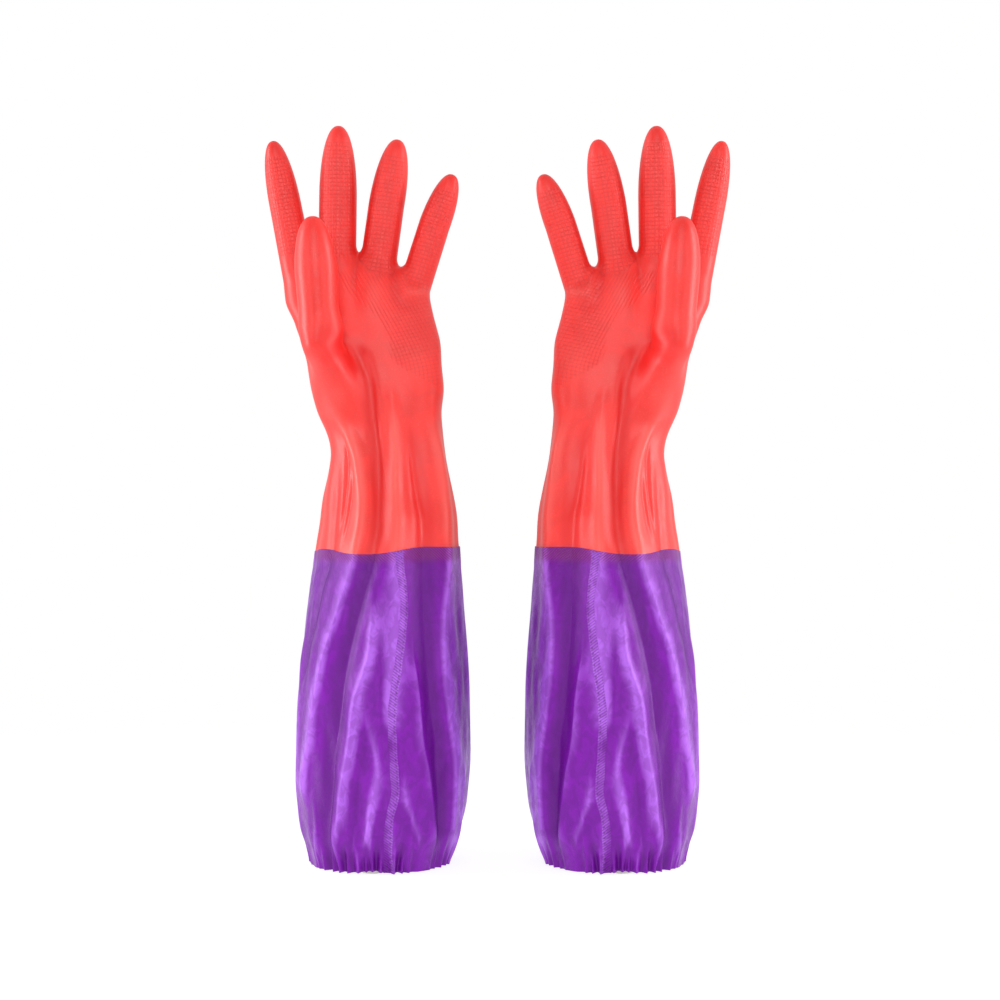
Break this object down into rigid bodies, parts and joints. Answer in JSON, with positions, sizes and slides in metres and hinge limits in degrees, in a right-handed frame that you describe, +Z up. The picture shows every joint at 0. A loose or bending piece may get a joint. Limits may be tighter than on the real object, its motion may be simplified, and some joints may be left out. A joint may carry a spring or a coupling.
{
  "type": "long-cuff rubber gloves",
  "caption": "Pair of red household rubber gloves with long purple fabric sleeves welded to their cuffs and gathered by elastic at the arm openings.",
  "frame": {"origin": "on the floor, midway between the two gloves, under the middle of the standing pair", "axes": "+X across the pair from the left glove to the right glove, +Y from the palms towards the backs of the hands, +Z up along the gloves from the hems to the fingertips"},
  "size_m": [0.3156, 0.1146, 0.5001],
  "materials": {
    "red_rubber": "satin",
    "flock": "matte",
    "purple_cloth": "satin",
    "seam_weld": "satin",
    "lap_weld": "satin",
    "elastic_webbing": "matte"
  },
  "bodies": {
    "left_forearm": {"left_gauntlet": "red_rubber", "left_gauntlet_lining": "flock", "left_sleeve": "purple_cloth", "left_sleeve_seam": "seam_weld", "left_lap_band": "lap_weld", "left_hem_casing": "purple_cloth", "left_elastic": "elastic_webbing"},
    "left_hand": {"left_palm": "red_rubber", "left_palm_lining": "flock"},
    "left_index_base": {"left_index_base": "red_rubber"},
    "left_index_tip": {"left_index_tip": "red_rubber"},
    "left_middle_base": {"left_middle_base": "red_rubber"},
    "left_middle_tip": {"left_middle_tip": "red_rubber"},
    "left_ring_base": {"left_ring_base": "red_rubber"},
    "left_ring_tip": {"left_ring_tip": "red_rubber"},
    "left_little_base": {"left_little_base": "red_rubber"},
    "left_little_tip": {"left_little_tip": "red_rubber"},
    "left_thumb_base": {"left_thumb_base": "red_rubber"},
    "left_thumb_tip": {"left_thumb_tip": "red_rubber"},
    "right_forearm": {"right_gauntlet": "red_rubber", "right_gauntlet_lining": "flock", "right_sleeve": "purple_cloth", "right_sleeve_seam": "seam_weld", "right_lap_band": "lap_weld", "right_hem_casing": "purple_cloth", "right_elastic": "elastic_webbing"},
    "right_hand": {"right_palm": "red_rubber", "right_palm_lining": "flock"},
    "right_index_base": {"right_index_base": "red_rubber"},
    "right_index_tip": {"right_index_tip": "red_rubber"},
    "right_middle_base": {"right_middle_base": "red_rubber"},
    "right_middle_tip": {"right_middle_tip": "red_rubber"},
    "right_ring_base": {"right_ring_base": "red_rubber"},
    "right_ring_tip": {"right_ring_tip": "red_rubber"},
    "right_little_base": {"right_little_base": "red_rubber"},
    "right_little_tip": {"right_little_tip": "red_rubber"},
    "right_thumb_base": {"right_thumb_base": "red_rubber"},
    "right_thumb_tip": {"right_thumb_tip": "red_rubber"}
  },
  "joints": [
    {"name": "left_wrist", "type": "hinge", "parent": "left_forearm", "child": "left_hand", "pos_m": [-0.0748, 0, 0.279], "axis": [1, 0, 0], "range_deg": [-40, 50], "stiffness_Nm_per_rad": 0.4},
    {"name": "left_index_root", "type": "hinge", "parent": "left_hand", "child": "left_index_base", "pos_m": [-0.1395, 0, 0.422], "axis": [0.9823, 0, 0.1874], "range_deg": [0, 35], "stiffness_Nm_per_rad": 0.06},
    {"name": "left_index_middle", "type": "hinge", "parent": "left_index_base", "child": "left_index_tip", "pos_m": [-0.14399, -0.00126, 0.44554], "axis": [0.9823, 0, 0.1874], "range_deg": [0, 42], "stiffness_Nm_per_rad": 0.03},
    {"name": "left_middle_root", "type": "hinge", "parent": "left_hand", "child": "left_middle_base", "pos_m": [-0.109, 0, 0.4245], "axis": [0.9998, 0, -0.0175], "range_deg": [0, 35], "stiffness_Nm_per_rad": 0.06},
    {"name": "left_middle_middle", "type": "hinge", "parent": "left_middle_base", "child": "left_middle_tip", "pos_m": [-0.10853, -0.00141, 0.45146], "axis": [0.9998, 0, -0.0175], "range_deg": [0, 42], "stiffness_Nm_per_rad": 0.03},
    {"name": "left_ring_root", "type": "hinge", "parent": "left_hand", "child": "left_ring_base", "pos_m": [-0.079, 0, 0.4235], "axis": [0.9898, 0, -0.1426], "range_deg": [0, 50], "stiffness_Nm_per_rad": 0.06},
    {"name": "left_ring_middle", "type": "hinge", "parent": "left_ring_base", "child": "left_ring_tip", "pos_m": [-0.07551, -0.00128, 0.44772], "axis": [0.9898, 0, -0.1426], "range_deg": [0, 60], "stiffness_Nm_per_rad": 0.03},
    {"name": "left_little_root", "type": "hinge", "parent": "left_hand", "child": "left_little_base", "pos_m": [-0.0488, 0, 0.4155], "axis": [0.9521, 0, -0.3057], "range_deg": [0, 50], "stiffness_Nm_per_rad": 0.06},
    {"name": "left_little_middle", "type": "hinge", "parent": "left_little_base", "child": "left_little_tip", "pos_m": [-0.04285, -0.00102, 0.43404], "axis": [0.9521, 0, -0.3057], "range_deg": [0, 60], "stiffness_Nm_per_rad": 0.03},
    {"name": "left_thumb_root", "type": "hinge", "parent": "left_hand", "child": "left_thumb_base", "pos_m": [-0.1175, -0.04, 0.36], "axis": [-0.0051, 0.9945, 0.1044], "range_deg": [0, 30], "stiffness_Nm_per_rad": 0.06},
    {"name": "left_thumb_middle", "type": "hinge", "parent": "left_thumb_base", "child": "left_thumb_tip", "pos_m": [-0.11915, -0.04355, 0.39377], "axis": [-0.0051, 0.9945, 0.1044], "range_deg": [0, 36], "stiffness_Nm_per_rad": 0.03},
    {"name": "right_wrist", "type": "hinge", "parent": "right_forearm", "child": "right_hand", "pos_m": [0.0748, 0, 0.279], "axis": [1, 0, 0], "range_deg": [-40, 50], "stiffness_Nm_per_rad": 0.4},
    {"name": "right_index_root", "type": "hinge", "parent": "right_hand", "child": "right_index_base", "pos_m": [0.1395, 0, 0.422], "axis": [0.9823, 0, -0.1874], "range_deg": [0, 35], "stiffness_Nm_per_rad": 0.06},
    {"name": "right_index_middle", "type": "hinge", "parent": "right_index_base", "child": "right_index_tip", "pos_m": [0.14399, -0.00126, 0.44554], "axis": [0.9823, 0, -0.1874], "range_deg": [0, 42], "stiffness_Nm_per_rad": 0.03},
    {"name": "right_middle_root", "type": "hinge", "parent": "right_hand", "child": "right_middle_base", "pos_m": [0.109, 0, 0.4245], "axis": [0.9998, 0, 0.0175], "range_deg": [0, 35], "stiffness_Nm_per_rad": 0.06},
    {"name": "right_middle_middle", "type": "hinge", "parent": "right_middle_base", "child": "right_middle_tip", "pos_m": [0.10853, -0.00141, 0.45146], "axis": [0.9998, 0, 0.0175], "range_deg": [0, 42], "stiffness_Nm_per_rad": 0.03},
    {"name": "right_ring_root", "type": "hinge", "parent": "right_hand", "child": "right_ring_base", "pos_m": [0.079, 0, 0.4235], "axis": [0.9898, 0, 0.1426], "range_deg": [0, 50], "stiffness_Nm_per_rad": 0.06},
    {"name": "right_ring_middle", "type": "hinge", "parent": "right_ring_base", "child": "right_ring_tip", "pos_m": [0.07551, -0.00128, 0.44772], "axis": [0.9898, 0, 0.1426], "range_deg": [0, 60], "stiffness_Nm_per_rad": 0.03},
    {"name": "right_little_root", "type": "hinge", "parent": "right_hand", "child": "right_little_base", "pos_m": [0.0488, 0, 0.4155], "axis": [0.9521, 0, 0.3057], "range_deg": [0, 50], "stiffness_Nm_per_rad": 0.06},
    {"name": "right_little_middle", "type": "hinge", "parent": "right_little_base", "child": "right_little_tip", "pos_m": [0.04285, -0.00102, 0.43404], "axis": [0.9521, 0, 0.3057], "range_deg": [0, 60], "stiffness_Nm_per_rad": 0.03},
    {"name": "right_thumb_root", "type": "hinge", "parent": "right_hand", "child": "right_thumb_base", "pos_m": [0.1175, -0.04, 0.36], "axis": [-0.0051, -0.9945, -0.1044], "range_deg": [0, 30], "stiffness_Nm_per_rad": 0.06},
    {"name": "right_thumb_middle", "type": "hinge", "parent": "right_thumb_base", "child": "right_thumb_tip", "pos_m": [0.11915, -0.04355, 0.39377], "axis": [-0.0051, -0.9945, -0.1044], "range_deg": [0, 36], "stiffness_Nm_per_rad": 0.03},
    {"name": "pair_slide", "type": "slide", "parent": "left_forearm", "child": "right_forearm", "axis": [1, 0, 0], "range_m": [0, 0.3]}
  ],
  "couplings": [
    {"joint": "left_index_middle", "follows": "left_index_root", "ratio": 1.2},
    {"joint": "left_middle_middle", "follows": "left_middle_root", "ratio": 1.2},
    {"joint": "left_ring_middle", "follows": "left_ring_root", "ratio": 1.2},
    {"joint": "left_little_middle", "follows": "left_little_root", "ratio": 1.2},
    {"joint": "left_thumb_middle", "follows": "left_thumb_root", "ratio": 1.2},
    {"joint": "right_index_middle", "follows": "right_index_root", "ratio": 1.2},
    {"joint": "right_middle_middle", "follows": "right_middle_root", "ratio": 1.2},
    {"joint": "right_ring_middle", "follows": "right_ring_root", "ratio": 1.2},
    {"joint": "right_little_middle", "follows": "right_little_root", "ratio": 1.2},
    {"joint": "right_thumb_middle", "follows": "right_thumb_root", "ratio": 1.2}
  ]
}
